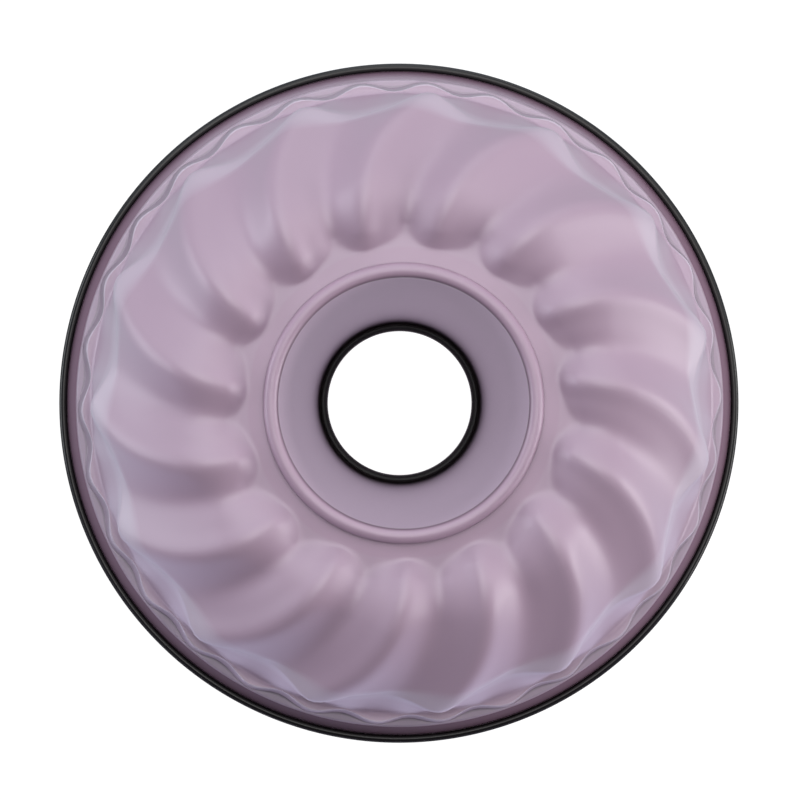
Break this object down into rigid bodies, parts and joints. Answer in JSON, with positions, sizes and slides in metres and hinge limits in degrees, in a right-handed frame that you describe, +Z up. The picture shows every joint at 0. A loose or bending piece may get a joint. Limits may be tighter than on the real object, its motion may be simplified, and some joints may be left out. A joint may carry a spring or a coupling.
{
  "type": "fluted ring cake pan",
  "caption": "Fluted ring cake pan of coated sheet steel with swirled ribs on its crown, a conical centre tube seamed into it and a wired rolled rim.",
  "frame": {"origin": "on the pan's axis, at the floor that its rolled rim stands on", "axes": "+Z up along the pan's axis, from the rim to the crown; +X to the right and +Y to the top of the picture"},
  "size_m": [0.24, 0.24, 0.0972],
  "materials": {
    "shell_lacquer": "satin mauve lacquer outside, black non-stick coating inside",
    "tube_lacquer": "satin mauve lacquer in the bore, black non-stick coating on the cake side",
    "wire_steel": "drawn steel wire"
  },
  "bodies": {
    "root": {"mould_shell": "shell_lacquer", "centre_tube": "tube_lacquer", "rim_wire": "wire_steel"}
  },
  "joints": []
}
